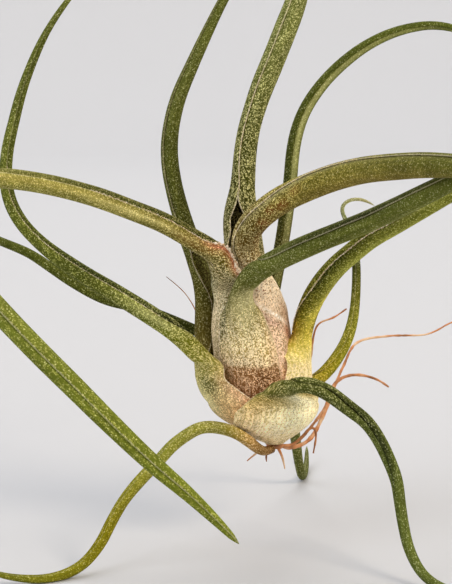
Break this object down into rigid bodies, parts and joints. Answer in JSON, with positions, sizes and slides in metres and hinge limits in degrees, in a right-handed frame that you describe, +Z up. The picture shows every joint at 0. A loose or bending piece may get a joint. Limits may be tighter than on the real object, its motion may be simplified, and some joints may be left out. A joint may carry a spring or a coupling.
{
  "type": "tillandsia bulbosa x butzii",
  "caption": "Air plant with a bulb of clasping leaf sheaths and long thin rolled leaves that curve outward, standing on its low leaves.",
  "frame": {"origin": "on the surface the plant rests on, under the middle of its box", "axes": "+Z up along the bulb, the pictured front faces -Y, +Y is the box's longest side"},
  "size_m": [0.1604, 0.1758, 0.1416],
  "materials": {
    "leaf_olive": "matte green leaf under fine pale scales",
    "leaf_gold": "matte yellow-green leaf under dense cream scales",
    "leaf_dry": "matte ageing leaf, brown at its base",
    "root": "dry wiry root"
  },
  "bodies": {
    "root": {"leaf_front_right_low": "leaf_olive", "leaf_back_low": "leaf_olive", "leaf_front_left_low": "leaf_dry", "leaf_left_outer": "leaf_olive", "leaf_curled": "leaf_olive", "leaf_right_outer": "leaf_gold", "leaf_left_back": "leaf_olive", "leaf_up_left": "leaf_olive", "leaf_right_front": "leaf_gold", "leaf_right_near": "leaf_gold", "leaf_left_near": "leaf_gold", "leaf_up_right": "leaf_olive", "leaf_centre": "leaf_olive", "stem_and_roots": "root"}
  },
  "joints": []
}
